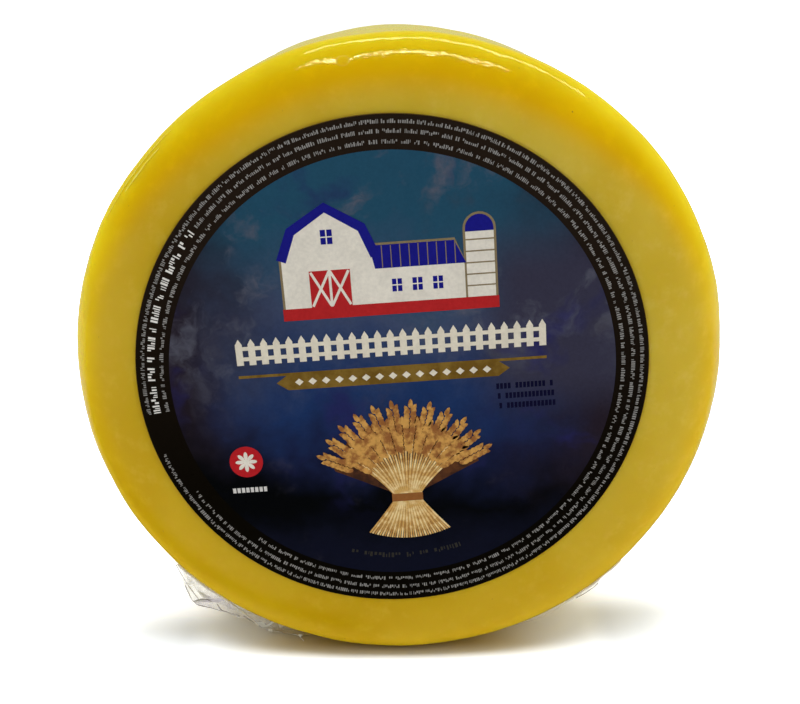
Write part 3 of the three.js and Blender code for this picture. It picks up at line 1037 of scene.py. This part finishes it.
def small_marks():
    """The round, the daisy, whose eight petals are ellipses set outwards at even turns, and all the
    dashes."""
    petals = turned(circle(1, 12) * PETAL + (PETAL_OUT, 0), np.arange(8)[:, None] * np.pi / 4)
    inked("daisy_round", [circle(6, 48) + ROUND_MIDDLE], 3, "round_red_ink", ROUND_RED)
    daisy = [*(petals + ROUND_MIDDLE), circle(1.1, 16) + ROUND_MIDDLE]
    inked("daisy", daisy, 4, "daisy_cream_ink", CREAM)
    inked("dash_row", dash_row(-61, -49, -41.5, 1.9, 1.6, 5), 3, "dash_white_ink", DASH_WHITE)
    starts = [DATE_START + DATE_STEP * row for row in range(3)]
    dates = [dash_row(left, left + DATE_LENGTH, foot, 2.1, 1.35, 6 + row)
             for row, (left, foot) in enumerate(starts)]
    inked("date_dashes", np.concatenate(dates), 3, "date_ink", DATE_BLUE)
    foot = stroke_row(71, math.radians(-73), math.radians(34), 1.9, 0.62, 12)
    inked("foot_dashes", foot, 3, "faint_olive_ink", FAINT_OLIVE)


small_marks()


# The ears: the clear film was welded behind the front edge, and low down its loose hem sticks out on
# both sides. It is crumpled thin film, still joined to the tight film on the rim, and rests on the table.
FILM_THICK = 0.1 * MM
FILM_DEPTH = np.mean([corner[1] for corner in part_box("film_ear_left")])
TABLE_GAP = 0.35 * MM             # the film's crumples keep it just off the table
TABLE_CLEAR = 0.05 * MM           # and nothing of it goes lower than this
FOLD_CLEAR = 0.4                  # in mm, how far the folds stand in front of the sheet
WELD = 0.6 * MM                   # how deep the film starts inside the rim
FILM_STEP, THREAD_STEP = 0.4 * MM, 0.8 * MM
THREAD_SIDES, THREAD_SWELL, THREAD_WAVE = 6, 0.35, 1.7 * MM
KNOT_SHAPE = (1.5, 1, 0.8)
# Hems, as pairs of an angle from straight down in degrees and a reach in mm
LEFT_HEM = ((-52, 1), (-45.2, 6.7), (-42.1, 10.7), (-39.3, 14.3), (-38, 15), (-36.7, 13.8), (-33.9, 11.7),
            (-30.4, 10.1), (-28.8, 9.2), (-25.9, 10.3), (-25, 8.5), (-23, 2))
LOW_HEM = ((-27, 1), (-25.5, 9), (-21.7, 10.2), (-18.5, 9.2), (-15, 5), (-12, 1))
LEFT_INNER = ((-48, 2), (-43.5, 8.2), (-40, 10.4), (-37.2, 12.6), (-35.6, 10.2), (-31, 9.3), (-28, 7.4),
              (-24, 4), (-21, 1))
RIGHT_HEM = ((18, 1), (21, 5.6), (26.1, 7.6), (30, 7.2), (33, 6.6), (36.6, 6.8), (38.6, 7.8), (39.6, 7.4),
             (41, 5.5), (45, 3), (48, 1))
# Folds, as a radius in mm and such pairs
# The dark folds are grey threads: painted shade for the dark line a fold of clear film shows where it is
# seen edge-on.
DARK_FOLDS = (
    (0.13, (-45.9, 6), (-44.4, 7.3), (-41.6, 9.8), (-39.2, 11.6), (-38.2, 12.4)),
    (0.16, (-42.1, 10.5), (-39.4, 14), (-38.1, 14.6), (-37.6, 14.2), (-35.7, 12.4), (-33.9, 11.4)),
    (0.20, (-38.9, 14.0), (-38.3, 12), (-37.2, 10.2), (-36.4, 9.9)),
    (0.16, (-35.3, 9.6), (-34, 11.1), (-32, 10), (-30.6, 9.5)),
    (0.12, (-30, 8.8), (-28, 9.2), (-26.2, 9.9)),
    (0.16, (34.8, 6.8), (36.6, 7.1), (37.8, 7.1), (39, 7), (39.9, 6.6)))
# The bright folds are near-white, near-opaque threads: a painted highlight for the bright line the film
# shows along the cheese's outline.
PAINTED_GLINT_FOLDS = (
    (0.42, (-45.8, 5.2), (-43.8, 5.5), (-40.9, 5.7), (-38, 5.9), (-35, 5.8), (-33.2, 6.2), (-31.3, 6.9)),
    (0.28, (-31.5, 6.9), (-30, 7.6), (-28.3, 8.6), (-26.7, 9.9)),
    (0.42, (32.9, 5.9), (34.6, 5.8), (37.1, 5.7), (39.1, 5.6), (42.6, 5.1), (46, 4.9)))
TABLE_THREAD = ((-57, -43.5, 1.2), (-53, -45.2, 0.5), (-47, -46.4, 0.3), (-41, -48.4, 0.3),
                (-38.6, -52.5, 0.3))
FILM_IOR = 1.5
GRAZING_SHARE = 0.8               # how much of the sheen at grazing angles counts as opacity
FILM_SHINE = 0.6
LILAC = (0.93, 0.90, 1.0, 1)


def creased(place, wavelength, seed, waves=5):
    """Crumpled relief of about unit height with sharp folds: the mean of triangle waves in random
    directions, whose lengths spread by a half either way."""
    rng = np.random.default_rng(seed)
    turn = rng.uniform(0, np.pi, waves)
    way = np.stack([np.cos(turn), np.sin(turn)]) * 2 * np.pi / (wavelength * rng.uniform(0.6, 1.6, waves))
    return np.arcsin(np.sin(place @ way + rng.uniform(0, 2 * np.pi, waves))).mean(axis=-1)


def film_sheet(hem, depth, wavelength, height, seed):
    """A thin closed sheet out from the rim to a hem. What would go below the table turns forwards
    and lies on it. The sheet's two sides are its middle surface moved by half its thickness along
    the surface's normal."""
    angles, reaches = np.array(hem).T
    angles, reaches = np.radians(angles), reaches * MM
    turn = np.linspace(angles[0], angles[-1], int((angles[-1] - angles[0]) * RADIUS / FILM_STEP))[:, None]
    way = np.linspace(0, 1, int(reaches.max() / FILM_STEP))[None]
    out = way * (np.interp(turn, angles, reaches) + WELD) - WELD
    over = np.maximum(RADIUS + out - (AXIS_HEIGHT - TABLE_GAP) / np.cos(turn), 0)
    reach = RADIUS + out - over
    turn = np.broadcast_to(turn, out.shape)
    relief = creased(np.stack([turn * RADIUS, out], axis=-1), wavelength, seed)
    fold = smooth(out, 0, 5 * MM) * height * relief
    laid = smooth(over, 0, 1 * MM)
    middle = np.stack([reach * np.sin(turn), depth - over + (1 - laid) * fold,
                       AXIS_HEIGHT - reach * np.cos(turn) + laid * 0.5 * np.abs(fold)], axis=-1)
    normal = unit_rows(np.cross(np.gradient(middle, axis=0), np.gradient(middle, axis=1)))
    normal *= FILM_THICK / 2
    sheet = np.concatenate([middle + normal, (middle - normal)[:, ::-1]], axis=1)
    sheet[..., 2] = np.maximum(sheet[..., 2], TABLE_CLEAR)
    return sheet


def thread(points, radius):
    """A round tube along points in mm, as a rolled hem or a film corner twisted to a string. The
    rings stand on a frame of the line's direction and the two directions square to it, and swell
    along the line like a sine."""
    line = np.array(points, float) * MM
    steps = np.concatenate([[0], np.cumsum(np.linalg.norm(np.diff(line, axis=0), axis=1))])
    at = np.linspace(0, steps[-1], max(8, int(steps[-1] / THREAD_STEP)))
    line = np.stack([np.interp(at, steps, line[:, k]) for k in range(3)], axis=1)
    way = unit_rows(np.gradient(line, axis=0))
    side = unit_rows(np.cross(way, (0.3, -0.2, 0.93)))
    lift = np.cross(side, way)
    wide = radius * MM * (1 + THREAD_SWELL * np.sin(at / THREAD_WAVE))[:, None, None]
    ring = circle(1, THREAD_SIDES)
    tube = line[:, None] + wide * (side[:, None] * ring[:, :1] + lift[:, None] * ring[:, 1:])
    tube[..., 2] = np.maximum(tube[..., 2], TABLE_CLEAR)
    return tube


def film_knot(x, y, size, seed):
    """A crushed lump of film on the table: a ball of rings whose reach is broken up by creases."""
    across, down = np.meshgrid(np.linspace(0, 2 * np.pi, 25)[:-1], np.linspace(0.12, np.pi - 0.12, 12))
    reach = size * MM * (0.75 + 0.45 * creased(np.stack([across, down], axis=-1), 1.4, seed))
    ball = np.stack([np.sin(down) * np.cos(across), np.sin(down) * np.sin(across), np.cos(down)], axis=-1)
    ball *= reach[..., None] * KNOT_SHAPE
    return ball + (x * MM, y * MM, 0.1 * MM - ball[..., 2].min())


def film_material(name, colour, clearest, milkiest):
    """Clear film. It shows as much as its opacity lets it, which grows towards grazing angles and
    in milky patches, and what shows is its colour under a gloss, or a more lilac one in patches."""
    material, tree, shader, place = new_material(name)
    sheen = node(tree, "Fresnel", [("IOR", FILM_IOR)]).outputs[0]
    milky = noise(tree, place, scale=130, detail=3)
    haze = ranged(tree, milky, 0.35, 0.68, clearest, milkiest)
    tint = ramped(tree, noise(tree, place, scale=120), 0.4, 0.6)
    lilac = tuple(part * shade for part, shade in zip(colour, LILAC))
    feed(tree, shader, [
        ("Base Color", mixed(tree, tint, colour, lilac)), ("Specular IOR Level", FILM_SHINE),
        ("Alpha", product(tree, sheen, GRAZING_SHARE, haze, use_clamp=True)),
        ("Roughness", ranged(tree, milky, 0.3, 0.7, 0.06, 0.16)),
        ("Normal", bumped(tree, noise(tree, place, scale=330), 0.5, 0.2 * MM))])
    return material


def fold_line(radius, *line):
    """A fold in an ear: a thread along pairs of an angle in degrees and a reach in mm, just in
    front of the sheet."""
    angles, reaches = np.array(line).T
    turn, reach = np.radians(angles), RADIUS / MM + reaches
    height = np.maximum(AXIS_HEIGHT / MM - reach * np.cos(turn), FOLD_CLEAR)
    depth = np.full(len(turn), FILM_DEPTH / MM - FOLD_CLEAR)
    return thread(np.stack([reach * np.sin(turn), depth, height], axis=1), radius)


CLEAR_FILM = film_material("clear_film", (1, 1, 0.95, 1), 0.06, 0.24)
CLEAREST_FILM = film_material("clearest_film", (1, 0.95, 0.80, 1), 0.02, 0.12)
# Crushed film is milky, and this near-white, near-opaque one is also a painted highlight, for the knots'
# glints and the bright folds.
CRUSHED_FILM_GLINT = film_material("crushed_film_glint", (1, 0.98, 0.88, 1), 0.7, 1)
SHADED_FILM = film_material("shaded_film", (0.36, 0.35, 0.37, 1), 0.2, 0.5)
left_ear = skinned("left_ear", [film_sheet(LEFT_HEM, FILM_DEPTH, 14 * MM, 1.0 * MM, 2),
                                film_sheet(LEFT_INNER, FILM_DEPTH + 2 * MM, 9 * MM, 0.8 * MM, 5)],
                   CLEAR_FILM)
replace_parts(left_ear, "film_ear_left")
skinned("low_hem", [film_sheet(LOW_HEM, FILM_DEPTH, 14 * MM, 0.8 * MM, 2)], CLEAREST_FILM)
right_ear = skinned("right_ear", [film_sheet(RIGHT_HEM, FILM_DEPTH, 12 * MM, 0.6 * MM, 8)],
                    CLEAREST_FILM)
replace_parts(right_ear, "film_ear_right")
skinned("dark_folds", [fold_line(*fold) for fold in DARK_FOLDS], SHADED_FILM)
skinned("painted_glint_folds", [fold_line(*fold) for fold in PAINTED_GLINT_FOLDS], CRUSHED_FILM_GLINT)
skinned("table_threads", [thread(TABLE_THREAD, 0.16), film_knot(-52.4, -45.8, 0.9, 3),
                          film_knot(-40, -49, 0.7, 4)], CRUSHED_FILM_GLINT)
